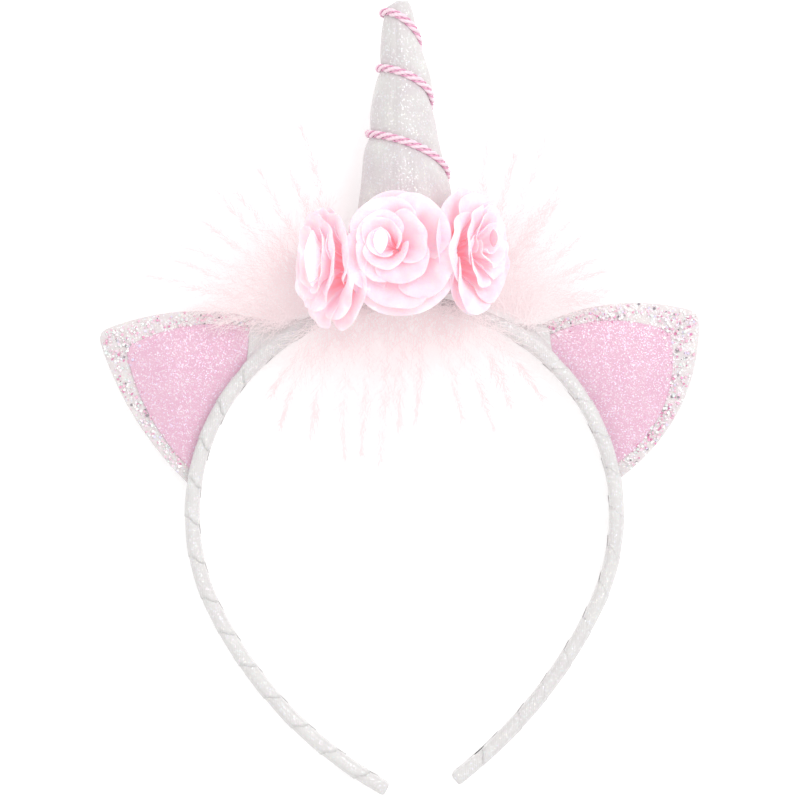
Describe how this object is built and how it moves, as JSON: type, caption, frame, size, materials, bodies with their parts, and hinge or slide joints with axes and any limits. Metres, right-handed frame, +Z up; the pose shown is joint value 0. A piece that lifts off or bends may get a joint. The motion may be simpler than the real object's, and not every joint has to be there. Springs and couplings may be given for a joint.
{
  "type": "unicorn horn headband",
  "caption": "Costume headband wound in glitter ribbon, with a stuffed horn, fabric roses, marabou feathers and flat glitter ears.",
  "frame": {"origin": "middle of the foot of the bounding box, as the headband lies on its back", "axes": "+Y from the band's tips to the horn's tip, +Z up from the surface to the roses' faces, +X to the right in that view"},
  "size_m": [0.1702, 0.2248, 0.0435],
  "materials": {
    "glitter_ribbon": "woven white ribbon with fine glitter",
    "white_glitter_fabric": "white fabric with fine iridescent glitter",
    "pink_glitter_fabric": "pink fabric with fine glitter",
    "chunky_glitter": "coarse iridescent hexagonal glitter on white",
    "pink_cord": "twisted shiny cord",
    "pink_satin": "soft satin",
    "marabou": "down feathers"
  },
  "bodies": {
    "root": {"band": "glitter_ribbon", "ear_back_left": "white_glitter_fabric", "ear_back_right": "white_glitter_fabric", "ear_panel_left": "pink_glitter_fabric", "ear_panel_right": "pink_glitter_fabric", "ear_rim_left": "chunky_glitter", "ear_rim_right": "chunky_glitter", "horn": "white_glitter_fabric", "horn_cord": "pink_cord", "rose_middle_outer_petals": "pink_satin", "rose_middle_inner_petals": "pink_satin", "rose_middle_heart": "pink_satin", "rose_left_outer_petals": "pink_satin", "rose_left_inner_petals": "pink_satin", "rose_left_heart": "pink_satin", "rose_right_outer_petals": "pink_satin", "rose_right_inner_petals": "pink_satin", "rose_right_heart": "pink_satin", "feathers_left": "marabou", "feathers_right": "marabou", "feathers_lower": "marabou"}
  },
  "joints": []
}
